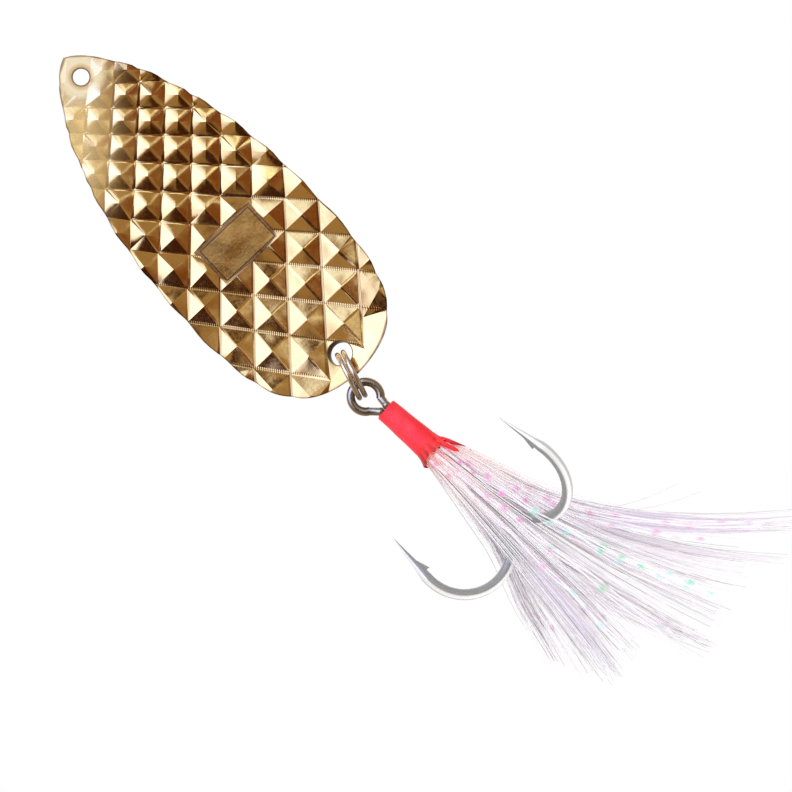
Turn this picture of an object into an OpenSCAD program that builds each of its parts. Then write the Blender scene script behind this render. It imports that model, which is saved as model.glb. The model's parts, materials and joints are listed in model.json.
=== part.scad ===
// Spoon lure: a dished brass blade stamped with pyramids, a split ring and a dressed treble hook.
// Sizes are in millimetres. The lure hangs by its line hole: nose up, pattern toward -Y.

/* [Blade] */
// Length from the nose tip to the tail end
blade_length = 49; // [42:0.5:60]
// Greatest width
blade_width = 20.8; // [16:0.2:26]
// Distance from the nose tip to the widest place
widest_at = 30; // [24:0.5:34]
// Wall thickness in the valleys of the pattern
blade_thickness = 1; // [0.7:0.05:1.6]
// Radius of the dished front, the same along and across
dish_radius = 80; // [60:1:160]
// Diameter of the line hole in the nose
line_hole_d = 1.9; // [1.4:0.1:2.4]
// Distance from the nose tip to the line hole's centre
line_hole_inset = 2.9; // [2.4:0.1:4]
// Diameter of the ring hole in the tail
ring_hole_d = 2.8; // [2.4:0.1:3.4]
// Distance from the tail end to the ring hole's centre
ring_hole_inset = 3.1; // [2.6:0.1:3.6]

/* [Stamped pattern] */
// Distance from the line hole to the reference corner of the grid
grid_start = 31.4; // [28:0.1:34]
// Half diagonal of a cell along the blade, at the reference corner
cell_run = 2.94; // [2.2:0.02:3.6]
// Half diagonal of a cell across the blade, at the reference corner
cell_rise = 2.58; // [2:0.02:3.2]
// Growth of the cells from one row to the next toward the tail
cell_growth = 0.02; // [0:0.001:0.03]
// Sideways place of the line that the grid fans out from
grid_axis_y = 1.5; // [-2:0.1:2]
// Height of a pyramid at the reference corner
pyramid_height = 0.85; // [0.3:0.05:1.2]
// Depth of the notches where the valleys meet the blade's edge
edge_notch = 0.24; // [0:0.02:0.4]
// Radius of the plain land round the line hole
nose_land = 2.2; // [1.6:0.1:3]
// Radius of the plain land behind the ring hole
tail_land = 5.8; // [4:0.1:7]

/* [Weight panel] */
// Length of the bare panel, across the blade
panel_length = 7.4; // [5:0.1:9]
// Width of the bare panel, along the blade
panel_width = 4.5; // [3:0.1:6]
// Distance from the line hole to the panel's centre
panel_at = 25.9; // [22:0.1:28]
// Height of the panel's face above the valleys
panel_height = 0.5; // [0.2:0.05:0.8]
// Width of the step round the panel
panel_step = 0.4; // [0.2:0.05:0.8]
// Drop of the step below the panel's face
panel_step_drop = 0.22; // [0.1:0.02:0.4]

/* [Split ring] */
// Wire diameter of the ring
ring_wire = 0.62; // [0.45:0.01:0.75]
// Outer diameter of the ring
ring_d = 6.1; // [5.6:0.1:7]
// Gap between the two turns
turn_gap = 0.08; // [0.04:0.01:0.15]
// Part of a turn that the crossover takes, in degrees
crossover = 44; // [30:1:60]
// How far the ring hangs past the middle of the tail strip
ring_hang = 0.55; // [0.4:0.05:0.7]
// Turn of the ring about the ring hole, in degrees
ring_yaw = -16; // [-30:1:20]

/* [Treble hook] */
// Wire diameter of the hooks
hook_wire = 1; // [0.7:0.02:1.04]
// Inner diameter of the eye
eye_d = 2.4; // [2.3:0.05:2.8]
// Distance from the eye's centre to the outside of the bends
hook_length = 25.5; // [22:0.5:30]
// Radius of each bend
bend_radius = 5.6; // [4.5:0.1:6.5]
// Length of the straight run to each point
spear_length = 5.6; // [4:0.1:7]
// Inward lean of each point, in degrees
spear_lean = 9; // [0:1:14]
// Length of the ground point
point_length = 3.2; // [2:0.1:3.8]
// Height of the barb
barb_height = 0.5; // [0.3:0.05:0.8]
// Braze between two shanks
braze_gap = 0.04; // [0.02:0.01:0.08]
// Place of the first hook round the shank, in degrees
hook_roll = 45; // [0:1:119]
// Sideways offset of the shanks from the eye's centre
shank_offset = 0.4; // [0:0.05:0.5]
// Turn of the hook about its eye, in degrees
hook_yaw = 6; // [-20:1:20]

/* [Thread wrap] */
// Distance from the eye's centre to the start of the wrap
wrap_start = 2.6; // [2.5:0.1:3.4]
// Length of the wrap
wrap_length = 6.8; // [5:0.1:8]
// Outer diameter of the wrap at the eye end
wrap_front_d = 2.7; // [2.6:0.05:3]
// Outer diameter of the wrap at the feather end
wrap_rear_d = 3.3; // [3.2:0.05:3.8]
// Length of the feather butts under the wrap
butt_length = 2.8; // [1.5:0.1:4]
// Length of the flared collar
collar_length = 2; // [1:0.1:3]
// Outer diameter of the collar's mouth
collar_d = 4.4; // [4.2:0.1:5]
// Wall of the wrap's thin end and of the collar
thread_wall = 0.22; // [0.15:0.01:0.3]
// Clearance between dressing pieces
dressing_gap = 0.04; // [0.02:0.01:0.1]
// Length of the long loose thread end
tag_length = 2.6; // [1.5:0.1:4]

/* [Dressing] */
// Reach of the longest feather from the eye's centre
feather_reach = 48.5; // [40:0.5:56]
// Greatest width of a feather
feather_width = 3; // [2:0.1:3.2]
// Greatest thickness of a feather
feather_thickness = 0.8; // [0.5:0.05:0.9]
// Width of a tinsel strand
tinsel_width = 0.5; // [0.3:0.05:0.7]
// Thickness of a tinsel strand
tinsel_thickness = 0.16; // [0.1:0.02:0.2]

/* [Hidden] */
$fn = 32;
edge_steps = 40;
feather_stations = 8;
feather_sides = 10;
tinsel_sides = 4;
cut = 20;
overcut = 1;

// Handles of the outline's curves, along the blade in millimetres and across it as shares of half width
nose_handle = 1.7;
nose_fullness = 0.42;
shoulder_handle = 16.6;
tail_shoulder = 3.6;
tail_bulge = 1.05;
tail_handle = 0.5;
tail_fullness = 0.69;
// Sideways shift of the columns, in cells, the half width below which the edge's notches fade,
// and how fast the pyramids grow with their rows
column_shift = 0.38;
notch_fade = 4;
height_growth = 1.5;
// Place of the ring's wires in the eye, as a share of the slack there
eye_play_across = 0.6;
eye_play_along = 0.35;
// Half of the eye's open side, in degrees, and the run from there to the shanks
eye_open = 32;
neck_run = 0.95;
// How far a joining bar reaches into a bent wire, in degrees, and its share of the wire's diameter
join_bite = 5;
join_share = 0.93;
// A drawn shank's share of the bend's diameter, and how far it reaches into the bend
shank_share = 0.98;
shank_bite = 0.2;
// Blunt end of a ground point, and how far the barb's edge lies behind its cut
point_d = 0.06;
barb_back = 0.4;
// Braze: its share of the shanks' spread and its clearance
braze_share = 1.4;
braze_clearance = 0.01;
// Loose thread ends: place round the shank and lean in degrees, diameters, and the short one's share
long_tag_roll = -12;
long_tag_d = 0.42;
short_tag_roll = -42;
short_tag_d = 0.5;
short_tag_share = 0.7;
tag_lean = 20;
// Strands: where they are widest, how they swell there, and the share of the run before they open
widest_share = 0.65;
swell_power = 1.6;
straight_share = 0.45;
open_share = 0.15;
// Feather and tinsel roots
root_share = 0.6;
root_width = 0.46;
root_thickness = 0.42;
root_gap = 0.06;
tip_width = 0.3;
tinsel_lead = 0.5;
tinsel_lift = 0.25;

half_width = blade_width / 2;
nose_x = -line_hole_inset;
tail_x = nose_x + blade_length;
widest_x = nose_x + widest_at;
ring_hole_x = tail_x - ring_hole_inset;
dish_x = ring_hole_x / 2;
dish_z = blade_thickness / 2 + sqrt(pow(dish_radius, 2) - pow(dish_x, 2));

// Control points of one side of the outline: nose to widest place, then to the tail
nose_curve = [
  [nose_x, 0],
  [nose_x + nose_handle, nose_fullness * half_width],
  [widest_x - shoulder_handle, half_width],
  [widest_x, half_width]
];
tail_curve = [
  [widest_x, half_width],
  [tail_x - tail_shoulder, tail_bulge * half_width],
  [tail_x - tail_handle, tail_fullness * half_width],
  [tail_x, 0]
];

ring_r = ring_d / 2 - ring_wire / 2;
turn_pitch = ring_wire + turn_gap;
strip_mid = (ring_hole_d / 2 + ring_hole_inset) / 2;
ring_along = strip_mid + ring_hang;
ring_x = ring_hole_x + ring_along * cos(ring_yaw);
ring_y = ring_along * sin(ring_yaw);
ring_z = front_z(ring_x, ring_y) - blade_thickness / 2;

wire_r = hook_wire / 2;
eye_r = eye_d / 2 + wire_r;
eye_slack = (eye_d - ring_wire - turn_pitch) / 2;
eye_across = eye_play_across * eye_slack;
eye_along = eye_play_along * eye_slack;
eye_x = ring_x + (ring_r + eye_along) * cos(ring_yaw) - eye_across * sin(ring_yaw);
eye_y = ring_y + (ring_r + eye_along) * sin(ring_yaw) + eye_across * cos(ring_yaw);
shank_spread = (hook_wire + braze_gap) / sqrt(3);
shank_start = eye_r * cos(eye_open) + neck_run;
bend_x = hook_length - bend_radius - wire_r;
bundle_r = shank_spread + wire_r;

wrap_end = wrap_start + wrap_length;
wrap_bore = bundle_r + dressing_gap;
butt_r = wrap_rear_d / 2 - thread_wall - 2 * dressing_gap;
butt_start = wrap_end - butt_length;
collar_start = wrap_end + dressing_gap;
collar_end = collar_start + collar_length;
collar_bore = collar_d / 2 - thread_wall;

root_x = collar_start + root_share * collar_length;
root_r = bundle_r + root_width / 2 + root_gap;
tinsel_root_x = collar_end + tinsel_lead;
tinsel_root_r = collar_d / 2 + tinsel_lift;

// Each feather: root place round the shank in degrees, then the tip's
// distance short of the reach, sideways place and depth
upper_feathers = [[0, 1.4, 20, -1.6], [334, 0.4, 16, -3.6], [26, 2, 11.6, 0.8], [308, 0.8, 7.4, -4]];
front_feathers = [[80, 0, 2.2, 5.2], [112, 2, -1.8, 8.2], [142, 4.4, -6, 5]];
rear_feathers = [[188, 8.4, -9.6, -1.4], [216, 5.4, -7, -4], [246, 2.6, -3.4, -6.8]];
// Each tinsel strand in the same way
upper_tinsel = [[12, 5, 18.2, 1.4], [22, 8, 13.8, 2.8], [30, 3, 9.4, 3.6]];
front_tinsel = [[66, 9, 5.8, 7.6], [96, 5, 1.4, 9], [126, 8, -2.8, 8.4]];
rear_tinsel = [[200, 12, -10.6, -4.8], [231, 6, -6.6, -7.6]];

blade();
split_ring();
double_hook_wire();
single_hook_wire();
braze_joint();
thread_wrap();
wrap_collar();
long_thread_end();
short_thread_end();
feather_butts();
upper_feather_1();
upper_feather_2();
upper_feather_3();
upper_feather_4();
front_feather_1();
front_feather_2();
front_feather_3();
rear_feather_1();
rear_feather_2();
rear_feather_3();
upper_tinsel_1();
upper_tinsel_2();
upper_tinsel_3();
front_tinsel_1();
front_tinsel_2();
front_tinsel_3();
rear_tinsel_1();
rear_tinsel_2();

// Parts are drawn lying face up, nose to tail along x, then hung by the nose
module hang() {
  rotate([90, 90, 0]) children();
}

// Hook parts are drawn along x from the eye's centre
module at_eye() {
  hang() translate([eye_x, eye_y, ring_z]) rotate([0, 0, hook_yaw]) children();
}

module at_shank() {
  at_eye() translate([0, shank_offset, 0]) children();
}

// Blade

function bezier(p, t) =
  pow(1 - t, 3) * p[0] + 3 * t * pow(1 - t, 2) * p[1] + 3 * t * t * (1 - t) * p[2] + pow(t, 3) * p[3];

function flip(p) = [p[0], -p[1]];

// Height of the dished front before stamping
function front_z(x, y) =
  dish_z - sqrt(max(0, pow(dish_radius, 2) - pow(x - dish_x, 2) - pow(y, 2)));

// Rows run across the blade and grow toward the tail
function row_scale(row) = 1 / (1 - cell_growth * row);
function row_at(x) = (x - grid_start) / (cell_run + cell_growth * (x - grid_start));
function grid_x(row) = grid_start + cell_run * row * row_scale(row);
function grid_y(row, column) = grid_axis_y + cell_rise * (column + column_shift) * row_scale(row);
function grid_xy(i, j) = [grid_x(i + j), grid_y(i + j, i - j)];

function grid_at(p) =
  let (row = row_at(p[0]))
  let (column = (p[1] - grid_axis_y) / (cell_rise * row_scale(row)) - column_shift)
  [(row + column) / 2, (row - column) / 2];

function is_land(p) =
  norm(p) < nose_land
  || (norm(p - [ring_hole_x, 0]) < tail_land && p[0] > ring_hole_x);

function corner(i, j) =
  let (p = grid_xy(i, j)) [p[0], p[1], front_z(p[0], p[1])];

function peak(i, j) =
  let (p = grid_xy(i + 0.5, j + 0.5))
  let (rise = is_land(p) ? 0 : pyramid_height * pow(row_scale(i + j + 1), height_growth))
  [p[0], p[1], front_z(p[0], p[1]) + rise];

// The stamp draws the edge in where a valley runs out of the blade
function off_valley(v) = abs(v - round(v));
function notched(p) =
  let (g = grid_at(p))
  let (near = 1 - 2 * min(off_valley(g[0]), off_valley(g[1])))
  let (depth = is_land(p) ? 0 : edge_notch * near * near * min(1, abs(p[1]) / notch_fade))
  [p[0], p[1] - depth * sign(p[1])];

module blade_outline() {
  one_side = concat(
    [for (k = [0 : edge_steps - 1]) bezier(nose_curve, k / edge_steps)],
    [for (k = [0 : edge_steps]) bezier(tail_curve, k / edge_steps)]
  );
  last = len(one_side) - 1;
  outline = concat(one_side, [for (k = [last - 1 : -1 : 1]) flip(one_side[k])]);
  polygon([for (p = outline) notched(p)]);
}

// One block whose top face is the field of pyramids
module pyramid_field() {
  first_row = floor(row_at(nose_x)) - 1;
  last_row = ceil(row_at(tail_x)) + 1;
  columns = ceil((half_width + abs(grid_axis_y)) / (cell_rise * row_scale(first_row))) + 1;
  low = floor((first_row - columns) / 2);
  high = ceil((last_row + columns) / 2);
  n = high - low;
  side = n + 1;
  grid = [for (i = [low : high], j = [low : high]) corner(i, j)];
  tops = [for (i = [low : high - 1], j = [low : high - 1]) peak(i, j)];
  rim = concat(
    [for (k = [0 : n - 1]) k],
    [for (k = [0 : n - 1]) k * side + n],
    [for (k = [0 : n - 1]) n * side + n - k],
    [for (k = [0 : n - 1]) (n - k) * side]
  );
  floor_points = [for (k = rim) [grid[k][0], grid[k][1], -cut]];
  first_top = len(grid);
  first_floor = first_top + len(tops);
  slopes = [
    for (i = [0 : n - 1], j = [0 : n - 1])
      let (a = i * side + j, b = a + 1, c = a + side + 1, d = a + side, t = first_top + i * n + j)
      each [[a, b, t], [b, c, t], [c, d, t], [d, a, t]]
  ];
  count = len(rim);
  walls = [
    for (k = [0 : count - 1])
      let (m = (k + 1) % count)
      each [[rim[m], rim[k], first_floor + k], [rim[m], first_floor + k, first_floor + m]]
  ];
  base = [[for (k = [0 : count - 1]) first_floor + k]];
  polyhedron(points = concat(grid, tops, floor_points), faces = concat(slopes, walls, base));
}

module panel_block(grow, top) {
  base_z = front_z(panel_at, 0) - blade_thickness / 2;
  translate([panel_at - panel_width / 2 - grow, -panel_length / 2 - grow, base_z])
    cube([panel_width + 2 * grow, panel_length + 2 * grow, blade_thickness / 2 + top]);
}

module blade() {
  color("gold") hang() difference() {
    intersection() {
      translate([0, 0, -cut / 2]) linear_extrude(height = cut) blade_outline();
      union() {
        difference() {
          pyramid_field();
          translate([0, 0, panel_height - panel_step_drop + blade_thickness / 2])
            panel_block(panel_step, cut);
        }
        panel_block(panel_step, panel_height - panel_step_drop);
        panel_block(0, panel_height);
      }
      translate([dish_x, 0, dish_z]) sphere(r = dish_radius + blade_thickness, $fn = 300);
    }
    translate([0, 0, -cut / 2]) cylinder(d = line_hole_d, h = cut);
    translate([ring_hole_x, 0, -cut / 2]) cylinder(d = ring_hole_d, h = cut);
  }
}

// Split ring: two turns of round wire, joined by one crossover

module ring_turn(level) {
  translate([0, 0, level]) rotate([0, 0, crossover / 2])
    rotate_extrude(angle = 360 - crossover, $fn = 48)
      translate([ring_r, 0]) circle(d = ring_wire, $fn = 16);
}

function on_ring(a, level) = [ring_r * cos(a), ring_r * sin(a), level];

module split_ring() {
  bite = crossover / 2 + join_bite;
  color("silver") hang() translate([ring_x, ring_y, ring_z])
    rotate([90, 0, ring_yaw]) rotate([0, 0, -90]) {
      ring_turn(-turn_pitch / 2);
      ring_turn(turn_pitch / 2);
      bar(on_ring(-bite, -turn_pitch / 2), on_ring(bite, turn_pitch / 2), ring_wire * join_share);
    }
}

// A straight length of round wire that ends inside the pieces it joins
module bar(from, to, d) {
  run = to - from;
  turn = atan2(run[1], run[0]);
  fall = acos(run[2] / norm(run));
  translate(from) rotate([0, fall, turn]) cylinder(d = d, h = norm(run), $fn = 16);
}

// Treble hook: one wire makes the eye and two hooks, a second one the third hook

module hook(roll, start) {
  rotate([roll, 0, 0]) {
    translate([start, shank_spread, 0]) rotate([0, 90, 0]) {
      sphere(d = hook_wire, $fn = 16);
      cylinder(d = hook_wire * shank_share, h = bend_x - start + shank_bite, $fn = 16);
    }
    translate([bend_x, shank_spread + bend_radius, 0]) {
      rotate([0, 0, -90]) rotate_extrude(angle = 180 + spear_lean, $fn = 48)
        translate([bend_radius, 0]) circle(d = hook_wire, $fn = 16);
      rotate([0, 0, 90 + spear_lean]) translate([bend_radius, 0, 0]) spear();
    }
  }
}

// Straight run along y with a ground point and a barb on the inner side
module spear() {
  straight = spear_length - point_length;
  barb_x = -wire_r - barb_height;
  barb_end = straight + point_length / 3;
  spear_r = wire_r * shank_share;
  rotate([-90, 0, 0]) rotate_extrude($fn = 16)
    polygon([
      [0, -shank_bite],
      [spear_r, -shank_bite],
      [spear_r, straight],
      [point_d / 2, spear_length],
      [0, spear_length]
    ]);
  translate([0, 0, -wire_r / 3]) linear_extrude(height = wire_r * 2 / 3)
    polygon([
      [0, straight],
      [barb_x, straight - barb_back],
      [-wire_r / 2, barb_end],
      [0, barb_end]
    ]);
}

module double_hook_wire() {
  color("gray") {
    at_eye() {
      rotate([0, 0, eye_open]) rotate_extrude(angle = 360 - 2 * eye_open, $fn = 48)
        translate([eye_r, 0]) circle(d = hook_wire, $fn = 16);
      neck(eye_open, hook_roll);
      neck(-eye_open, hook_roll + 120);
    }
    at_shank() {
      hook(hook_roll, shank_start);
      hook(hook_roll + 120, shank_start);
    }
  }
}

// Wire from the eye's open side to the start of a shank
module neck(side, roll) {
  bite = side + join_bite * sign(side);
  bar(
    [eye_r * cos(bite), eye_r * sin(bite), 0],
    [shank_start, shank_offset + shank_spread * cos(roll), shank_spread * sin(roll)],
    hook_wire * join_share
  );
}

module single_hook_wire() {
  color("gray") at_shank() hook(hook_roll + 240, wrap_start + wire_r);
}

// Braze that fills the valleys between the shanks
module braze_joint() {
  length = bend_x - wrap_start - hook_wire;
  color("darkgray") at_shank() translate([wrap_start + hook_wire, 0, 0]) rotate([0, 90, 0]) difference() {
    cylinder(r = shank_spread * braze_share, h = length);
    for (roll = [0, 120, 240])
      rotate([0, 0, hook_roll + roll + 90]) translate([shank_spread, 0, -overcut])
        cylinder(d = hook_wire + braze_clearance, h = length + 2 * overcut);
  }
}

// Thread wrap and dressing

module thread_wrap() {
  color("red") at_shank() rotate([0, 90, 0]) rotate_extrude()
    polygon([
      [wrap_bore, wrap_start],
      [wrap_front_d / 2, wrap_start],
      [wrap_rear_d / 2, wrap_end],
      [butt_r + dressing_gap, wrap_end],
      [butt_r + dressing_gap, butt_start - dressing_gap],
      [wrap_bore, butt_start - dressing_gap]
    ]);
}

module feather_butts() {
  color("white") at_shank() translate([butt_start, 0, 0]) rotate([0, 90, 0]) difference() {
    cylinder(r = butt_r, h = butt_length);
    translate([0, 0, -overcut]) cylinder(r = wrap_bore, h = butt_length + 2 * overcut);
  }
}

// Last turns of thread, pushed open by the feathers
module wrap_collar() {
  color("red") at_shank() rotate([0, 90, 0]) rotate_extrude()
    polygon([
      [wrap_rear_d / 2 - thread_wall, collar_start],
      [wrap_rear_d / 2, collar_start],
      [collar_d / 2, collar_end],
      [collar_bore, collar_end]
    ]);
}

module thread_end(turn, length, d) {
  start = collar_end + dressing_gap + d / 2;
  reach = collar_d / 2 - thread_wall / 2;
  color("red") at_shank() rotate([turn, 0, 0])
    translate([start, reach + d / 2, 0]) rotate([0, 90, tag_lean]) {
      sphere(d = d, $fn = 16);
      cylinder(d1 = d, d2 = d / 4, h = length, $fn = 16);
    }
}

module long_thread_end() {
  thread_end(long_tag_roll, tag_length, long_tag_d);
}

module short_thread_end() {
  thread_end(short_tag_roll, tag_length * short_tag_share, short_tag_d);
}

// Middle line of a strand: leaves its root along the shank, then opens toward its tip
function strand_point(root, tip, t) =
  let (run = tip - root)
  let (middle = root + [straight_share * run[0], open_share * run[1], open_share * run[2]])
  pow(1 - t, 2) * root + 2 * t * (1 - t) * middle + t * t * tip;

// Swells from the root to two thirds of the length, then tapers
function swell(t, root_size, size, tip_size) =
  t < widest_share ? root_size + (size - root_size) * pow(t / widest_share, swell_power)
  : tip_size + (size - tip_size) * (1 - pow((t - widest_share) / (1 - widest_share), swell_power));

module strand(root, tip, widths, thicknesses, stations, sides) {
  rings = [
    for (k = [0 : stations], j = [0 : sides - 1])
      let (t = k / stations, a = 360 * (j + 0.5) / sides)
      strand_point(root, tip, t) + [
        0,
        swell(t, widths[0], widths[1], widths[2]) / 2 * cos(a),
        swell(t, thicknesses[0], thicknesses[1], thicknesses[2]) / 2 * sin(a)
      ]
  ];
  skin = [
    for (k = [0 : stations - 1], j = [0 : sides - 1])
      let (a = k * sides + j, b = k * sides + (j + 1) % sides)
      each [[a, b, b + sides], [a, b + sides, a + sides]]
  ];
  ends = [[for (j = [sides - 1 : -1 : 0]) j], [for (j = [0 : sides - 1]) stations * sides + j]];
  polyhedron(points = rings, faces = concat(skin, ends));
}

module feather(place) {
  root = [root_x, root_r * cos(place[0]), root_r * sin(place[0])];
  tip = [feather_reach - place[1], place[2], place[3]];
  color("white") at_shank() strand(
    root, tip,
    [root_width, feather_width, tip_width],
    [root_thickness, feather_thickness, tip_width],
    feather_stations, feather_sides
  );
}

module tinsel(place) {
  root = [tinsel_root_x, tinsel_root_r * cos(place[0]), tinsel_root_r * sin(place[0])];
  tip = [feather_reach - place[1], place[2], place[3]];
  color("lavender") at_shank() strand(
    root, tip,
    [tinsel_width, tinsel_width, tinsel_width],
    [tinsel_thickness, tinsel_thickness, tinsel_thickness],
    feather_stations, tinsel_sides
  );
}

module upper_feather_1() {
  feather(upper_feathers[0]);
}

module upper_feather_2() {
  feather(upper_feathers[1]);
}

module upper_feather_3() {
  feather(upper_feathers[2]);
}

module upper_feather_4() {
  feather(upper_feathers[3]);
}

module front_feather_1() {
  feather(front_feathers[0]);
}

module front_feather_2() {
  feather(front_feathers[1]);
}

module front_feather_3() {
  feather(front_feathers[2]);
}

module rear_feather_1() {
  feather(rear_feathers[0]);
}

module rear_feather_2() {
  feather(rear_feathers[1]);
}

module rear_feather_3() {
  feather(rear_feathers[2]);
}

module upper_tinsel_1() {
  tinsel(upper_tinsel[0]);
}

module upper_tinsel_2() {
  tinsel(upper_tinsel[1]);
}

module upper_tinsel_3() {
  tinsel(upper_tinsel[2]);
}

module front_tinsel_1() {
  tinsel(front_tinsel[0]);
}

module front_tinsel_2() {
  tinsel(front_tinsel[1]);
}

module front_tinsel_3() {
  tinsel(front_tinsel[2]);
}

module rear_tinsel_1() {
  tinsel(rear_tinsel[0]);
}

module rear_tinsel_2() {
  tinsel(rear_tinsel[1]);
}
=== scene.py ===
import json
import math
import random

import bmesh
import bpy
import numpy as np
from mathutils import Matrix, Vector
from mathutils.kdtree import KDTree

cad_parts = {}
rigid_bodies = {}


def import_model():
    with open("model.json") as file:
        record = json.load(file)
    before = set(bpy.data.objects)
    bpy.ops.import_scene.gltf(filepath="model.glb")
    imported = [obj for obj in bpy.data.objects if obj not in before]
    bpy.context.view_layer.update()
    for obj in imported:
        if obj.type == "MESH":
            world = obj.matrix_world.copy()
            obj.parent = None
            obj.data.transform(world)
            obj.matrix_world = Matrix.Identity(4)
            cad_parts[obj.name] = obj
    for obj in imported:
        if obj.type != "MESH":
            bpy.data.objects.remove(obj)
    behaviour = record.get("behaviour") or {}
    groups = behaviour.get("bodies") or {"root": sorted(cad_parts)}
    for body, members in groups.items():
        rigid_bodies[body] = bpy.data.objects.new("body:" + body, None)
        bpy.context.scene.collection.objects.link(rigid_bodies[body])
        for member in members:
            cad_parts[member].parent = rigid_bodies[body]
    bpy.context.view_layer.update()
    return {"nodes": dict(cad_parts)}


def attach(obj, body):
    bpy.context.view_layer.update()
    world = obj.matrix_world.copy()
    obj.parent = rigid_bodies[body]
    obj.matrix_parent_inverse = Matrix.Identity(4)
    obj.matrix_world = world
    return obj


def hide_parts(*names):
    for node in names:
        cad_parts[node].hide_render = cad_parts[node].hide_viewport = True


for o in list(bpy.data.objects):
    bpy.data.objects.remove(o)
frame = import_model()
nodes = frame["nodes"]
scene = bpy.context.scene
scene.view_settings.view_transform = "Standard"
rng = random.Random(7)

# The lure is drawn lying face up (x nose to tail, y across, z to the viewer, millimetres)
# and hangs by its nose in the row frame, in metres. These are the photograph's axes there.
RIGHT = Vector((0.729, 0, -0.684)).normalized()
UP = Vector((0.684, 0, 0.729)).normalized()
TOWARD = Vector((0, -1, 0))
MM_PER_M = 1000


def row(x, y, z):
    return Vector((y, -z, -x)) / MM_PER_M


def drawn(p):
    """The drawing's x and y of a point of the row frame"""
    return -p.z * MM_PER_M, p.x * MM_PER_M


# The hook's own coordinates: u along the shank from the eye, v across it, w to the viewer
EYE_X, EYE_Y, EYE_Z = 48.596, -1.268, 0.806
HOOK_TURN = math.radians(6)
HOOK_COS, HOOK_SIN = math.cos(HOOK_TURN), math.sin(HOOK_TURN)
SHANK_V = 0.4


def hook_place(u, v, w):
    """The point of the row frame at the hook's own coordinates"""
    v = v + SHANK_V
    return row(EYE_X + u * HOOK_COS - v * HOOK_SIN, EYE_Y + u * HOOK_SIN + v * HOOK_COS, EYE_Z + w)


def hook_coordinates(p):
    """The hook's own coordinates of a point of the row frame"""
    x, y = drawn(p)
    x, y, z = x - EYE_X, y - EYE_Y, -p.y * MM_PER_M - EYE_Z
    return x * HOOK_COS + y * HOOK_SIN, y * HOOK_COS - x * HOOK_SIN - SHANK_V, z


def eased(value, low, high):
    """0 below low, 1 above high, a smooth step between them"""
    f = min(1, max(0, (value - low) / (high - low)))
    return f * f * (3 - 2 * f)


# Camera: the photograph's view, square on to the stamped face, nose at the top left

PICTURE_CENTRE = Vector((0.0013, 0, -0.0509))
PICTURE_WIDTH = 0.09
CAMERA_DISTANCE = 0.9
SENSOR_WIDTH = 36


def build_camera():
    cam = bpy.data.cameras.new("camera")
    cam.sensor_width = SENSOR_WIDTH
    cam.lens = SENSOR_WIDTH * CAMERA_DISTANCE / PICTURE_WIDTH
    cam.clip_start = 0.01
    cam.clip_end = 20
    obj = add_object("camera", cam)
    turn = Matrix((RIGHT, UP, TOWARD)).transposed().to_4x4()
    turn.translation = PICTURE_CENTRE + TOWARD * CAMERA_DISTANCE
    obj.matrix_world = turn
    scene.camera = obj


# Small helpers for objects and materials


def add_object(name, data):
    obj = bpy.data.objects.new(name, data)
    scene.collection.objects.link(obj)
    return obj


def add_mesh(name, bm):
    """Puts a finished bmesh into the scene"""
    mesh = bpy.data.meshes.new(name)
    bm.to_mesh(mesh)
    bm.free()
    return add_object(name, mesh)


def material(name):
    mat = bpy.data.materials.new(name)
    mat.use_nodes = True
    tree = mat.node_tree
    return mat, tree, tree.nodes["Principled BSDF"]


def empty_material(name):
    mat = bpy.data.materials.new(name)
    mat.use_nodes = True
    mat.node_tree.nodes.clear()
    return mat, mat.node_tree


def node(tree, kind, settings=None, **inputs):
    """A node with its inputs given by name, or by number as i0, i1 and so on"""
    made = tree.nodes.new(kind)
    for k, v in (settings or {}).items():
        setattr(made, k, v)
    for k, v in inputs.items():
        key = int(k[1:]) if k[0] == "i" and k[1:].isdigit() else k.replace("_", " ")
        link(tree, v, made.inputs[key])
    return made


def link(tree, value, socket):
    if isinstance(value, bpy.types.NodeSocket):
        tree.links.new(value, socket)
    elif isinstance(value, bpy.types.Node):
        tree.links.new(value.outputs[0], socket)
    else:
        socket.default_value = value


def maths(tree, operation, a, b=0.0, c=0.0):
    return node(tree, "ShaderNodeMath", {"operation": operation}, i0=a, i1=b, i2=c).outputs[0]


def times(tree, a, b):
    return maths(tree, "MULTIPLY", a, b)


def smooth(tree, value, low, high, out_low=0.0, out_high=1.0):
    made = node(
        tree, "ShaderNodeMapRange", {"interpolation_type": "SMOOTHSTEP"},
        Value=value, From_Min=low, From_Max=high, To_Min=out_low, To_Max=out_high,
    )
    return made.outputs[0]


def band(tree, value, middle, half, soft):
    """1 within half of the middle, then down to 0 over soft"""
    away = maths(tree, "ABSOLUTE", maths(tree, "SUBTRACT", value, middle))
    return smooth(tree, away, half, half + soft, 1.0, 0.0)


def mix(tree, factor, a, b, blend="MIX"):
    made = node(tree, "ShaderNodeMix", {"data_type": "RGBA", "blend_type": blend})
    link(tree, factor, made.inputs[0])
    link(tree, a, made.inputs[6])
    link(tree, b, made.inputs[7])
    return made.outputs[2]


def noise(tree, where, scale, detail=2.0, roughness=0.5):
    return node(
        tree, "ShaderNodeTexNoise", Vector=where, Scale=scale, Detail=detail, Roughness=roughness
    ).outputs[0]


def relief(tree, height, strength, depth, under=None):
    """A bump of a depth in metres, on top of another one"""
    made = node(tree, "ShaderNodeBump", Strength=strength, Distance=depth, Height=height)
    if under is not None:
        link(tree, under, made.inputs["Normal"])
    return made


def object_place(tree):
    return node(tree, "ShaderNodeTexCoord").outputs["Object"]


def parts_of(tree, vector):
    return node(tree, "ShaderNodeSeparateXYZ", i0=vector).outputs


def rgb(r, g, b):
    return (r, g, b, 1)


# World, floor, lamps and cards

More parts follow.
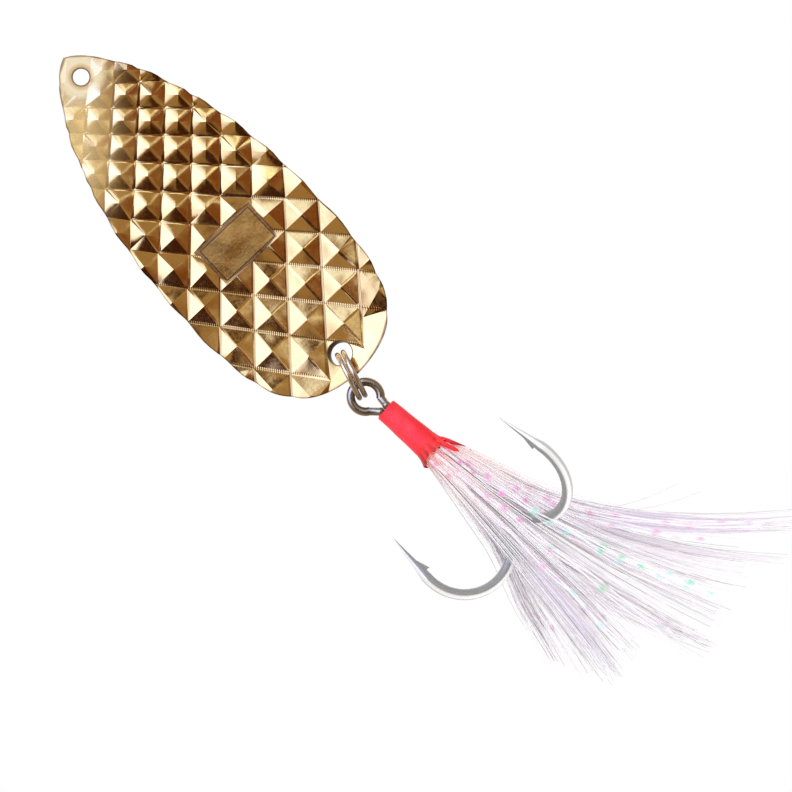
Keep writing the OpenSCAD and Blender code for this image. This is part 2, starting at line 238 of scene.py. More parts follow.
# Where the lamps and cards point: the middle of the blade
AIM = row(21.5, 0, 0)
FLOOR_Z, FLOOR_HALF = -0.75, 1.5
ROOM_RADIUS = 0.62
ROOM_TAN, WALL_BROWN, WINDOW_WHITE = rgb(0.38, 0.28, 0.17), rgb(0.22, 0.18, 0.13), rgb(1.3, 1.3, 1.3)


def build_stage():
    """Lamps and cards stand where a facet with their lean, right and up, shows them to the camera"""
    build_world()
    build_floor()
    lamp("key", -0.5, 0.5, distance=0.45, size=0.35, power=1.2)
    lamp("fill", 0.5, -0.5, distance=0.5, size=0.5, power=1.6)
    build_room()

    # Cards: lean right and up, half sizes as leans, colour
    card("softbox_left", -0.31, 0.12, 0.43, 0.50, (1.85, 2.3, 4.4), tilt=-121, distance=0.50, edge=0.8)
    card("window_nose", 0.55, -0.23, 0.13, 0.15, (1.02, 1.1, 1.3), tilt=-12, distance=0.48)
    card("strip_high", 0.09, 0.205, 0.38, 0.067, (1.7, 2.0, 2.4), tilt=-7, distance=0.46, edge=0.95)
    card("dark_low", 0.04, -0.27, 0.22, 0.44, (0.05, 0.017, 0.008), tilt=32, distance=0.44)
    card("dark_corner", 0.17, -0.17, 0.085, 0.12, (0.02, 0.006, 0.003), tilt=45, distance=0.38, edge=0.9)
    card("dark_right", 0.27, 0.01, 0.245, 0.50, (0.215, 0.078, 0.024), tilt=58, distance=0.42, edge=0.95)
    card("strip_left", -0.13, 0.51, 0.075, 0.50, (1.25, 1.6, 2.7), tilt=6, distance=0.40, edge=0.7)
    card("dark_top", 0.0, 0.57, 0.055, 0.12, (0.10, 0.055, 0.02), distance=0.37, edge=0.4)


def build_world():
    """White to the camera and in reflections, a little less as light"""
    world = bpy.data.worlds.new("studio")
    scene.world = world
    world.use_nodes = True
    t = world.node_tree
    t.nodes.clear()
    path = node(t, "ShaderNodeLightPath")
    seen = maths(t, "MAXIMUM", path.outputs["Is Camera Ray"], path.outputs["Is Glossy Ray"])
    seen = maths(t, "MAXIMUM", seen, path.outputs["Is Transmission Ray"])
    strength = node(t, "ShaderNodeMapRange", Value=seen, To_Min=0.9, To_Max=1.0).outputs[0]
    sky = node(t, "ShaderNodeBackground", Color=rgb(1, 1, 1), Strength=strength)
    out = node(t, "ShaderNodeOutputWorld")
    t.links.new(sky.outputs[0], out.inputs[0])


def build_floor():
    bm = bmesh.new()
    bmesh.ops.create_grid(bm, x_segments=2, y_segments=2, size=FLOOR_HALF)
    floor = add_mesh("floor", bm)
    floor.location = (0, 0, FLOOR_Z)
    mat, _, bsdf = material("floor")
    bsdf.inputs["Base Color"].default_value = rgb(0.9, 0.9, 0.9)
    bsdf.inputs["Roughness"].default_value = 0.9
    floor.data.materials.append(mat)


def only_reflected(obj):
    """Leaves a stage piece to the metal's reflections"""
    obj.visible_camera = False
    obj.visible_diffuse = False
    obj.visible_transmission = False
    obj.visible_shadow = False
    obj.visible_volume_scatter = False


def build_room():
    """The tan walls of the room round the lure, with a window high in the wall behind it"""
    bm = bmesh.new()
    bmesh.ops.create_uvsphere(bm, u_segments=48, v_segments=24, radius=ROOM_RADIUS)
    obj = add_mesh("room", bm)
    obj.location = AIM
    mat, t = empty_material("room")
    where = parts_of(t, object_place(t))
    behind = smooth(t, where["Y"], 0.1 * ROOM_RADIUS, 0.6 * ROOM_RADIUS)
    high = smooth(t, where["Z"], -0.8 * ROOM_RADIUS, 0.5 * ROOM_RADIUS)
    wall = mix(t, high, WALL_BROWN, WINDOW_WHITE)
    glow = node(t, "ShaderNodeEmission", Color=mix(t, behind, ROOM_TAN, wall), Strength=1.0)
    out = node(t, "ShaderNodeOutputMaterial")
    t.links.new(glow.outputs[0], out.inputs[0])
    obj.data.materials.append(mat)
    only_reflected(obj)


def reflected(a, b):
    """Direction that a facet leaning a to the right and b up shows to the camera"""
    k = 1 + a * a + b * b
    return RIGHT * (2 * a / k) + UP * (2 * b / k) + TOWARD * ((1 - a * a - b * b) / k)


def facing(obj, direction, distance, roll=0.0):
    """Puts a lamp or a card in a direction from the blade, turned to it"""
    back = direction.normalized()
    side = UP.cross(back).normalized()
    up = back.cross(side)
    m = Matrix((side, up, back)).transposed().to_4x4()
    m = m @ Matrix.Rotation(math.radians(roll), 4, "Z")
    m.translation = AIM + back * distance
    obj.matrix_world = m


def lamp(name, a, b, distance, size, power):
    data = bpy.data.lights.new(name, "AREA")
    data.shape = "DISK"
    data.size = size
    data.energy = power
    obj = add_object(name, data)
    facing(obj, reflected(a, b), distance)
    obj.visible_camera = False
    obj.visible_glossy = False


def card(name, a, b, half_a, half_b, level, tilt=0.0, distance=0.4, edge=0.45):
    """A studio card that only the metal's reflections see, with soft edges"""
    k = 1 + a * a + b * b
    wide = distance * math.tan(2 * half_a / k)
    tall = distance * math.tan(2 * half_b / k)
    bm = bmesh.new()
    bmesh.ops.create_circle(bm, cap_ends=True, segments=48, radius=1)
    obj = add_mesh(name, bm)
    facing(obj, reflected(a, b), distance, tilt)
    obj.matrix_world = obj.matrix_world @ Matrix.Diagonal((wide, tall, 1, 1))
    mat, t = empty_material(name)
    away = node(t, "ShaderNodeVectorMath", {"operation": "LENGTH"}, i0=object_place(t))
    inside = smooth(t, away.outputs["Value"], 1.0 - edge, 1.0, 1.0, 0.0)
    glow = node(t, "ShaderNodeEmission", Color=rgb(*level), Strength=1.0)
    clear = node(t, "ShaderNodeBsdfTransparent")
    both = node(t, "ShaderNodeMixShader", i0=inside, i1=clear, i2=glow)
    out = node(t, "ShaderNodeOutputMaterial")
    t.links.new(both.outputs[0], out.inputs[0])
    obj.data.materials.append(mat)
    only_reflected(obj)


# Blade: the stamped solid with its ridges, valleys and rim softened

LINE_HOLE_R = 0.95
RING_HOLE_R = 1.4
RING_HOLE_X = 43
PANEL_X = 25.9
PANEL_HALF_WIDTH = 2.25
PANEL_HALF_LENGTH = 3.7
PANEL_STEP = 0.4
TAIL_ARC_X, TAIL_ARC_R = 35.06, 11.04
# Plain lands round the two holes, and where the ridges stop being round
NOSE_LAND = 2.4
TAIL_LAND = 6.2
ROUND_UNTIL = 25.0
# The stamped grid: where it is counted from, its pitches there, their growth for each row
GRID_X, GRID_Y = 31.4, 1.5
ROW_PITCH, COLUMN_PITCH, COLUMN_SHIFT = 2.94, 2.58, 0.38
GRID_GROWTH = 0.02
# The shortest edge of a whole cell, and how wide the creases and the rim are softened
WHOLE_EDGE = 1.1
CREASE_WIDTH, RIM_WIDTH = 0.2, 0.06
CREASE_ANGLE = math.radians(9)
# The least lean of a face that looks forward or back, and the most of a wall
FACE_LEAN, WALL_LEAN = 0.5, 0.4
# The ring hole's back edge stands aside by this, so that a side of its wall shows
WALL_SHIFT = RIGHT * 0.0004 - UP * 0.0002
OUTLINE_STEP = 0.05


def grid_place(x, y):
    """Column and row of the stamped grid, whole numbers in the valleys"""
    r = (x - GRID_X) / (ROW_PITCH + GRID_GROWTH * (x - GRID_X))
    k = 1 / (1 - GRID_GROWTH * r)
    c = (y - GRID_Y) / (COLUMN_PITCH * k) - COLUMN_SHIFT
    return (r + c) / 2, (r - c) / 2


def is_panel(x, y):
    edge = PANEL_STEP + 0.03
    return abs(x - PANEL_X) < PANEL_HALF_WIDTH + edge and abs(y) < PANEL_HALF_LENGTH + edge


def is_stamped(x, y):
    """1 on the pyramids, 0 on the panel and on the plain lands round the holes"""
    on_nose = math.hypot(x, y) < NOSE_LAND
    on_tail = x > RING_HOLE_X and math.hypot(x - RING_HOLE_X, y) < TAIL_LAND
    return 0 if is_panel(x, y) or on_nose or on_tail else 1


def is_by_hole(x, y, margin):
    by_line_hole = math.hypot(x, y) < LINE_HOLE_R + margin
    return by_line_hole or math.hypot(x - RING_HOLE_X, y) < RING_HOLE_R + margin


def middle_of(edge):
    return (edge.verts[0].co + edge.verts[1].co) / 2


def is_crease(edge):
    return len(edge.link_faces) == 2 and edge.calc_face_angle(0) > CREASE_ANGLE


def is_front_crease(edge):
    return is_crease(edge) and all(f.normal.y < -FACE_LEAN for f in edge.link_faces)


def is_round_ridge(edge):
    """True for the ridges towards the nose, whose roundness is in the material's relief"""
    return is_front_crease(edge) and edge.is_convex and drawn(middle_of(edge))[0] < ROUND_UNTIL


def is_whole_cell(vert):
    """True where all the edges round a point of the front are long ones"""
    return all(e.calc_length() * MM_PER_M > WHOLE_EDGE for e in vert.link_edges)


def is_outline(edge):
    """True for the front edge of the blade's own rim, not of a hole or the panel"""
    x, y = drawn(middle_of(edge))
    inside = is_by_hole(x, y, 0.2) or is_panel(x, y)
    leans = sorted(f.normal.y for f in edge.link_faces)
    return not inside and is_crease(edge) and leans[0] < -FACE_LEAN and abs(leans[1]) < WALL_LEAN


def points_along(edges, step):
    """A tree of points on the edges, to measure distances from"""
    found = []
    for e in edges:
        count = max(1, round(e.calc_length() * MM_PER_M / step))
        found += [e.verts[0].co.lerp(e.verts[1].co, k / count) for k in range(count + 1)]
    tree = KDTree(len(found))
    for k, place in enumerate(found):
        tree.insert(place, k)
    tree.balance()
    return tree


def clean_blade(bm):
    """Joins the CAD mesh into whole facets and tilts the ring hole's wall"""
    bmesh.ops.remove_doubles(bm, verts=bm.verts[:], dist=2e-6)
    bmesh.ops.dissolve_limit(
        bm, angle_limit=math.radians(0.4), verts=bm.verts[:], edges=bm.edges[:], delimit=set(),
    )
    bmesh.ops.recalc_face_normals(bm, faces=bm.faces[:])
    for v in bm.verts:
        x, y = drawn(v.co)
        on_wall = abs(math.hypot(x - RING_HOLE_X, y) - RING_HOLE_R) < 0.03
        if on_wall and any(f.normal.y > FACE_LEAN for f in v.link_faces):
            v.co += WALL_SHIFT


def soften(bm, edges, width, segments):
    bmesh.ops.bevel(
        bm, geom=edges, offset=width / MM_PER_M, offset_type="OFFSET", segments=segments, profile=0.5,
        affect="EDGES", clamp_overlap=True,
    )


def soften_creases(bm):
    inner = [e for e in bm.edges if is_front_crease(e) and all(is_whole_cell(v) for v in e.verts)]
    soften(bm, [e for e in inner if not is_round_ridge(e)], CREASE_WIDTH, 3)
    soften(bm, [e for e in bm.edges if is_crease(e) and not is_round_ridge(e)], RIM_WIDTH, 2)
    bmesh.ops.triangulate(bm, faces=bm.faces[:])
    for e in bm.edges:
        e.smooth = not is_round_ridge(e)
    for f in bm.faces:
        f.smooth = True


def write_places(bm, outline):
    """Stores each corner's place in the grid, whether it is stamped, and its way to the outline in mm"""
    grid = bm.loops.layers.uv.new("grid")
    zone = bm.loops.layers.uv.new("zone")
    for f in bm.faces:
        stamped = is_stamped(*drawn(f.calc_center_median()))
        for loop in f.loops:
            loop[grid].uv = grid_place(*drawn(loop.vert.co))
            loop[zone].uv = (stamped, outline.find(loop.vert.co)[2] * MM_PER_M)


def build_blade():
    bm = bmesh.new()
    bm.from_mesh(nodes["blade"].data)
    clean_blade(bm)
    outline = points_along([e for e in bm.edges if is_outline(e)], OUTLINE_STEP)
    soften_creases(bm)
    write_places(bm, outline)
    blade = add_mesh("gilt_blade", bm)
    weigh = blade.modifiers.new("normals", "WEIGHTED_NORMAL")
    weigh.weight = 100
    weigh.keep_sharp = True
    blade.data.materials.append(gold_material())
    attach(blade, "blade")
    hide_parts("blade")


# Gold plate: lengths in millimetres, parts of a cell of the grid, depths of relief in metres

DEEP_GOLD, LIGHT_GOLD = rgb(0.80, 0.50, 0.17), rgb(0.84, 0.56, 0.20)
# The paler gold of the nose's side is painted light
PANEL_GOLD, NOSE_LIGHT_GOLD, LAND_GOLD = rgb(0.97, 0.57, 0.11), rgb(1.0, 0.79, 0.40), rgb(0.86, 0.76, 0.54)
# The panel step's brown and the dark panel line are painted shade
LINE_HOLE_RING_GOLD, STEP_SHADE_BROWN, PANEL_LINE_SHADE = rgb(0.62, 0.40, 0.17), rgb(0.42, 0.22, 0.07), rgb(0.16, 0.07, 0.02)
# Painted shade: the valleys' brown and the rim's brown
VALLEY_SHADE_BROWN, RIM_SHADE_BROWN = rgb(0.22, 0.10, 0.03), rgb(0.30, 0.16, 0.06)
# Painted shade: the outline's brown and the holes' dark
OUTLINE_SHADE_BROWN, HOLE_SHADE_DARK = rgb(0.20, 0.11, 0.045), rgb(0.035, 0.018, 0.008)
TICKS_IN_CELL = 17


def distance_from(t, x, y, centre_x):
    dx = maths(t, "SUBTRACT", x, centre_x)
    return maths(t, "SQRT", maths(t, "ADD", times(t, dx, dx), times(t, y, y)))


class BladePoint:
    """What the material knows of a point of the blade: its place, its side, its cell of the grid"""

    def __init__(self, t):
        self.where = object_place(t)
        part = parts_of(t, self.where)
        self.x = times(t, part["Z"], -MM_PER_M)
        self.y = times(t, part["X"], MM_PER_M)
        self.from_line_hole = distance_from(t, self.x, self.y, 0.0)
        self.from_ring_hole = distance_from(t, self.x, self.y, RING_HOLE_X)
        self.back = parts_of(t, node(t, "ShaderNodeNewGeometry").outputs["True Normal"])["Y"]
        self.toward = times(t, self.back, -1.0)
        self.front = smooth(t, self.toward, 0.3, 0.6)
        zone = parts_of(t, node(t, "ShaderNodeUVMap", {"uv_map": "zone"}))
        self.stamped = times(t, zone["X"], self.front)
        self.from_outline = zone["Y"]
        cell = parts_of(t, node(t, "ShaderNodeUVMap", {"uv_map": "grid"}))
        self.column = cell["X"]
        self.off_column = maths(t, "PINGPONG", cell["X"], 0.5)
        self.off_row = maths(t, "PINGPONG", cell["Y"], 0.5)
        self.off_valley = maths(t, "MINIMUM", self.off_column, self.off_row)
        self.tail_half = smooth(t, self.x, 18.0, 30.0)
        self.fine = noise(t, self.where, 2600.0, 3.0)


def painted_valley_shade(t, at, tint):
    """Painted shade: brown lines in the valleys, doubled along the tail's columns"""
    doubled = times(t, band(t, at.off_column, 0.035, 0.006, 0.014), at.tail_half)
    single = smooth(t, at.off_valley, 0.006, 0.026, 1.0, 0.0)
    lines = times(t, maths(t, "MAXIMUM", doubled, single), at.stamped)
    lines = times(t, lines, smooth(t, at.x, 14.0, 30.0, 0.1, 0.75))
    return mix(t, lines, tint, VALLEY_SHADE_BROWN)


def panel_margin(t, x, y):
    """Distance outside the panel's face, less than nothing inside it"""
    off_middle = maths(t, "ABSOLUTE", maths(t, "SUBTRACT", x, PANEL_X))
    dx = maths(t, "SUBTRACT", off_middle, PANEL_HALF_WIDTH)
    dy = maths(t, "SUBTRACT", maths(t, "ABSOLUTE", y), PANEL_HALF_LENGTH)
    return maths(t, "MAXIMUM", dx, dy)


def panel_tint(t, at, tint):
    """A warmer face in a brown step, with a dark line between them; the step's brown and the line are
    painted shade
    """
    margin = panel_margin(t, at.x, at.y)
    face = times(t, smooth(t, margin, -0.1, 0.0, 0.8, 0.0), at.front)
    step = times(t, band(t, margin, PANEL_STEP / 2, PANEL_STEP / 2, 0.06), at.front)
    line = times(t, band(t, margin, 0.0, 0.03, 0.06), at.front)
    tint = mix(t, face, tint, PANEL_GOLD)
    tint = mix(t, times(t, step, 0.45), tint, STEP_SHADE_BROWN)
    return mix(t, times(t, line, 0.8), tint, PANEL_LINE_SHADE)


def nose_land(t, at):
    """The pale land round the line hole"""
    past_hole = maths(t, "MAXIMUM", maths(t, "SUBTRACT", at.x, 0.3), 0.0)
    from_tip = distance_from(t, past_hole, times(t, at.y, 0.75), 0.0)
    land = smooth(t, from_tip, NOSE_LAND - 1.2, NOSE_LAND + 1.0, 0.9, 0.0)
    return times(t, land, at.front)


def painted_nose_light(t, at):
    """The paler side of the nose, the left one in the photograph"""
    # Painted light: the paleness of this side of the nose
    from_side = maths(t, "ADD", times(t, at.x, 0.68), times(t, at.y, 0.73))
    near_side = smooth(t, from_side, -0.5, 8.0, 0.58, 0.0)
    near_nose = smooth(t, at.x, 9.0, 18.0, 1.0, 0.0)
    return times(t, times(t, near_side, near_nose), at.front)


def painted_edge_shade(t, at, tint):
    """Painted shade: a brown rim and a thin dark line along the front's edge, wider round part of the
    tail
    """
    rim = times(t, smooth(t, at.toward, 0.7, 0.82, 1.0, 0.0), smooth(t, at.toward, -0.3, -0.1))
    line = times(t, smooth(t, at.from_outline, 0.08, 0.2, 1.0, 0.0), at.front)
    from_tail = maths(t, "SUBTRACT", TAIL_ARC_R, distance_from(t, at.x, at.y, TAIL_ARC_X))
    tail_line = times(t, smooth(t, from_tail, 0.16, 0.34, 1.0, 0.0), smooth(t, at.x, 41.5, 43.0))
    tail_line = times(t, tail_line, smooth(t, at.y, -3.5, -1.5))
    tint = mix(t, times(t, rim, 0.65), tint, RIM_SHADE_BROWN)
    tint = mix(t, times(t, line, 0.75), tint, OUTLINE_SHADE_BROWN)
    return mix(t, times(t, tail_line, 0.85), tint, OUTLINE_SHADE_BROWN)


# Painted shade: dark walls in the two holes and a dark ring round each on the front
def painted_hole_shade(t, at):
    return maths(
        t, "MAXIMUM",
        smooth(t, at.from_line_hole, LINE_HOLE_R + 0.03, LINE_HOLE_R + 0.25, 1.0, 0.0),
        smooth(t, at.from_ring_hole, RING_HOLE_R + 0.03, RING_HOLE_R + 0.16, 1.0, 0.0),
    )


def round_ridges(t, at):
    """How much lower the round ridges towards the nose are than sharp ones"""
    to_column = maths(t, "SUBTRACT", 0.5, at.off_column)
    to_row = maths(t, "SUBTRACT", 0.5, at.off_row)
    sharp = maths(t, "MAXIMUM", to_column, to_row)
    ridge = maths(t, "SUBTRACT", sharp, maths(t, "SMOOTH_MAX", to_column, to_row, 0.5))
    return times(t, times(t, ridge, at.stamped), smooth(t, at.x, 17.0, ROUND_UNTIL, 1.0, 0.0))


def knurl_ticks(t, at):
    """Fine ticks across the tail's rows"""
    ticks = maths(t, "SINE", times(t, at.column, 2 * math.pi * TICKS_IN_CELL))
    near_row = times(t, smooth(t, at.off_row, 0.02, 0.065, 1.0, 0.0), at.tail_half)
    return times(t, times(t, ticks, near_row), at.stamped)


def gold_relief(t, at, pale):
    """Slow waves from the press, ridges, ticks, shallow dimples on the back and fine grain"""
    waves = times(t, noise(t, at.where, 330.0, 0.5), smooth(t, at.stamped, 0.0, 1.0, 0.35, 1.0))
    dimples = smooth(t, at.off_valley, 0.03, 0.42, 1.0, 0.0)
    dimples = times(t, dimples, smooth(t, at.back, 0.5, 0.8))
    grain = times(t, at.fine, smooth(t, pale, 0.0, 0.6, 1.0, 0.1))
    bump = relief(t, waves, 0.6, 0.0004)
    bump = relief(t, round_ridges(t, at), 1.0, 0.0013, bump)
    bump = relief(t, knurl_ticks(t, at), 0.3, 0.00003, bump)
    bump = relief(t, dimples, 0.35, 0.00016, bump)
    return relief(t, grain, 0.12, 0.00004, bump)


def gold_material():
    mat, t, bsdf = material("gold_plate")
    at = BladePoint(t)
    nose_light, land = painted_nose_light(t, at), nose_land(t, at)
    # A darker ring round the line hole
    line_hole_ring = smooth(t, at.from_line_hole, LINE_HOLE_R + 0.25, LINE_HOLE_R + 0.75, 0.75, 0.0)
    holes = painted_hole_shade(t, at)
    broad = noise(t, at.where, 300.0, 3.0)
    tint = mix(t, smooth(t, broad, 0.35, 0.65), DEEP_GOLD, LIGHT_GOLD)
    tint = panel_tint(t, at, painted_valley_shade(t, at, tint))
    tint = mix(t, nose_light, tint, NOSE_LIGHT_GOLD)
    tint = mix(t, land, tint, LAND_GOLD)
    tint = mix(t, line_hole_ring, tint, LINE_HOLE_RING_GOLD)
    tint = painted_edge_shade(t, at, tint)
    # Painted shade in and round the holes
    tint = mix(t, times(t, holes, 0.92), tint, HOLE_SHADE_DARK)
    link(t, tint, bsdf.inputs["Base Color"])

    # The pale places shine less, the land and the painted light of the nose's side, and the holes'
    # walls, painted dark as shade, hardly at all
    pale = maths(t, "MAXIMUM", land, nose_light)
    clear_of_hole_shade = smooth(t, holes, 0.0, 1.0, 1.0, 0.0)
    link(t, times(t, smooth(t, pale, 0.0, 1.0, 1.0, 0.15), clear_of_hole_shade), bsdf.inputs["Metallic"])
    link(t, smooth(t, clear_of_hole_shade, 0.0, 1.0, 0.05, 0.5), bsdf.inputs["Specular IOR Level"])
    polish = smooth(t, at.fine, 0.3, 0.7, 0.10, 0.19)
    link(t, maths(t, "ADD", polish, times(t, pale, 0.2)), bsdf.inputs["Roughness"])
    link(t, gold_relief(t, at, pale), bsdf.inputs["Normal"])
    return mat


# Steel wires

# The bends in the hook's own coordinates: turns round the shank, centre, radius, the point's direction
HOOK_TURNS = [math.radians(a) for a in (45, 165, 285)]
BEND_U, BEND_OUT, BEND_R = 19.4, 6.2, 5.6
BEND_END = math.radians(99)
POINT_WAY = (-math.sin(BEND_END), math.cos(BEND_END))
POINT_BASE = (BEND_U + BEND_R * POINT_WAY[1], BEND_OUT - BEND_R * POINT_WAY[0])
# Places along the point: where grinding begins, the taper as drawn and as ground back, the tip
GROUND_FROM, DRAWN_TAPER, GROUND_TAPER, POINT_TIP = 0.3, 2.4, 0.7, 5.6
# The point is all farther out than this
POINT_OUT = BEND_OUT + 2
WIRE_R, BARB_LOSS = 0.5, 0.2
# Forging: where along the hook its swell begins and is full, and the swell in metres
FORGED_FROM, FORGED_FULL, SWELL = 14.6, 18.1, 0.00013
# Wire nearer the axis than this is shank and keeps its shape
SHANKS_R = 2.2
SHARP_ANGLE = math.radians(50)


def steel_material(name, near, far, inside, outside, low, high, metallic, bent=False):
    """Wire whose tint changes down the lure, with painted shade inside its bends and a painted tint at
    its outer edge
    """
    mat, t, bsdf = material(name)
    where = object_place(t)
    side = parts_of(t, node(t, "ShaderNodeNewGeometry").outputs["Normal"])["Z"]
    dark_from, dark_to, edge_from, edge_to = -0.3, 0.3, -0.85, -0.4
    if bent:
        side = node(t, "ShaderNodeAttribute", {"attribute_name": "inner"}).outputs["Fac"]
        dark_from, dark_to, edge_from, edge_to = -0.6, -0.2, -0.98, -0.88
    speck = noise(t, where, 1800.0, 4.0)
    is_near = smooth(t, parts_of(t, where)["Z"], low, high)
    # Painted shade inside the bends, then the painted edge tint at the outer side
    tint = mix(t, smooth(t, side, dark_from, dark_to), far, inside)
    tint = mix(t, smooth(t, side, edge_from, edge_to, 1.0, 0.0), tint, outside)
    tint = mix(t, is_near, tint, near)
    tint = mix(t, smooth(t, speck, 0.5, 0.75, 0.0, 0.2), tint, near)
    link(t, tint, bsdf.inputs["Base Color"])
    link(t, smooth(t, is_near, 0.0, 1.0, metallic, 0.95), bsdf.inputs["Metallic"])
    link(t, smooth(t, speck, 0.3, 0.7, 0.16, 0.3), bsdf.inputs["Roughness"])
    link(t, relief(t, speck, 0.1, 0.00003), bsdf.inputs["Normal"])
    return mat


def ground_point(u, out):
    """Where the maker's grinding moves a place on the point: back along it, with a lower barb"""
    du, dout = u - POINT_BASE[0], out - POINT_BASE[1]
    run = du * POINT_WAY[0] + dout * POINT_WAY[1]
    inward = dout * POINT_WAY[0] - du * POINT_WAY[1]
    if out < POINT_OUT or run < GROUND_FROM:
        return u, out
    if run < DRAWN_TAPER:
        share = (run - GROUND_FROM) / (DRAWN_TAPER - GROUND_FROM)
    else:
        share = max(0, (POINT_TIP - run) / (POINT_TIP - DRAWN_TAPER))
    back = (GROUND_TAPER - DRAWN_TAPER) * share
    lower = BARB_LOSS * max(0, inward - WIRE_R)
    new_u = u + back * POINT_WAY[0] + lower * POINT_WAY[1]
    new_out = out + back * POINT_WAY[1] - lower * POINT_WAY[0]
    return new_u, new_out


def facing_in(u, out, normal_u, normal_out):
    """1 where a wire's skin faces the middle of its bend, -1 where it faces away from it"""
    du, dout = min(0, BEND_U - u), BEND_OUT - out
    return (normal_u * du + normal_out * dout) / max(1e-6, math.hypot(du, dout))


def forge(bm):
    """Notes which way each point of a hook's wire faces, swells the bend and grinds the point"""
    inner = bm.verts.layers.float.new("inner")
    for v in bm.verts:
        u, side, depth = hook_coordinates(v.co)
        ahead = hook_coordinates(v.co + v.normal / MM_PER_M)
        turn = max(HOOK_TURNS, key=lambda a: side * math.cos(a) + depth * math.sin(a))
        c, s = math.cos(turn), math.sin(turn)
        out = side * c + depth * s
        normal_out = (ahead[1] - side) * c + (ahead[2] - depth) * s
        v[inner] = facing_in(u, out, ahead[0] - u, normal_out)
        if math.hypot(side, depth) > SHANKS_R:
            new_u, new_out = ground_point(u, out)
            moved = new_out - out
            v.co = hook_place(new_u, side + moved * c, depth + moved * s)
            v.co += v.normal * SWELL * eased(u, FORGED_FROM, FORGED_FULL)


def forged_hook(name, replaced, mat):
    """The CAD wire with the swell that forging gives its bend and a longer ground point"""
    bm = bmesh.new()
    bm.from_mesh(nodes[replaced].data)
    bmesh.ops.remove_doubles(bm, verts=bm.verts[:], dist=1.5e-5)
    bm.normal_update()
    forge(bm)
    for f in bm.faces:
        f.smooth = True
    for e in bm.edges:
        e.smooth = e.calc_face_angle(0) < SHARP_ANGLE
    obj = add_mesh(name, bm)
    obj.data.materials.append(mat)
    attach(obj, "dressed_hook")
    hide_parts(replaced)


def build_metal():
    # Hooks: painted highlight white outside the bends, painted shade inside, a painted dark outline at
    # the edge
    eye_end_tint, painted_highlight_white = rgb(0.42, 0.35, 0.25), rgb(0.9, 0.9, 0.91)
    shadow, outline = rgb(0.3, 0.3, 0.305), rgb(0.56, 0.56, 0.565)
    gilt, brown, tan = rgb(0.78, 0.66, 0.48), rgb(0.22, 0.165, 0.11), rgb(0.36, 0.28, 0.20)
    grey, pale = rgb(0.5, 0.48, 0.45), rgb(0.6, 0.58, 0.55)
    # The hooks' eye end is darker and more metallic
    hook = steel_material("hook_wire", eye_end_tint, painted_highlight_white, shadow, outline, -0.056, -0.052, 0.2, bent=True)
    # The ring's tan, on the sides facing the tail, is painted light
    ring = steel_material("ring_wire", gilt, brown, brown, tan, -0.0485, -0.0455, 0.8)
    braze = steel_material("braze_fill", grey, pale, pale, pale, -0.07, -0.05, 0.9)
    forged_hook("forged_pair", "double_hook_wire", hook)
    forged_hook("forged_single", "single_hook_wire", hook)
    for name, mat in (("split_ring", ring), ("braze_joint", braze)):
        nodes[name].data.materials.clear()
        nodes[name].data.materials.append(mat)


# Thread wrap with its flared end: round pieces along the shank, in the hook's own coordinates

WRAP_START, WRAP_END = 2.6, 9.4
WRAP_FRONT_R, WRAP_REAR_R = 1.35, 1.65
WRAP_MOUTH_R = 1.13
FLARE_START, FLARE_END = 8.5, 10.4
FLARE_R = 2.15
THREAD_PITCH = 0.26
# Rows of faces along the wrap, along its drawn-in start, and out and back along the flare
WRAP_ROWS, START_ROWS, OUTER_ROWS, INNER_ROWS = 180, 5, 22, 8
WRAP_SIDES, FLARE_SIDES = 64, 128
DEEP_RED, LIGHT_RED = rgb(0.95, 0.022, 0.042), rgb(1.0, 0.045, 0.075)
# Painted shade: how much red, green and blue the wrap's upper side loses
UPPER_SHADE_LOSS = (0.16, 0.85, 0.7)


def thread_material():
    mat, t, bsdf = material("red_thread")
    where = object_place(t)
    shade = node(t, "ShaderNodeAttribute", {"attribute_name": "tint"}).outputs["Color"]
    broad = noise(t, where, 700.0, 3.0)
    fine = noise(t, where, 5200.0, 2.0)
    red = mix(t, smooth(t, broad, 0.3, 0.7), DEEP_RED, LIGHT_RED)
    # The tint attribute multiplies in the painted shade of the wrap and the flare
    link(t, mix(t, 1.0, red, shade, "MULTIPLY"), bsdf.inputs["Base Color"])
    link(t, smooth(t, fine, 0.3, 0.7, 0.38, 0.52), bsdf.inputs["Roughness"])
    bsdf.inputs["Specular IOR Level"].default_value = 0.3
    link(t, relief(t, fine, 0.15, 0.00003), bsdf.inputs["Normal"])
    return mat


def finish_piece(name, verts, faces, tints, mat, replaced):
    """Makes a piece of the dressing with a tint at each point"""
    mesh = bpy.data.meshes.new(name)
    mesh.from_pydata(verts, [], faces)
    layer = mesh.attributes.new("tint", "FLOAT_COLOR", "POINT")
    layer.data.foreach_set("color", [c for t in tints for c in (t if len(t) == 4 else (*t, 1.0))])
    mesh.polygons.foreach_set("use_smooth", [True] * len(mesh.polygons))
    mesh.materials.append(mat)
    obj = add_object(name, mesh)
    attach(obj, "dressed_hook")
    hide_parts(*replaced)


def round_piece(name, rows, sides, place, mat, replaced):
    """A skin of rings along the shank; place(ring, angle) gives u, radius and tint"""
    verts, tints = [], []
    for k in range(rows + 1):
        for j in range(sides):
            a = 2 * math.pi * j / sides
            u, r, tint = place(k, a)
            verts.append(hook_place(u, r * math.cos(a), r * math.sin(a)))
            tints.append(tint)
    faces = [
        (k * sides + j, k * sides + (j + 1) % sides,
         (k + 1) * sides + (j + 1) % sides, (k + 1) * sides + j)
        for k in range(rows) for j in range(sides)
    ]
    finish_piece(name, verts, faces, tints, mat, replaced)


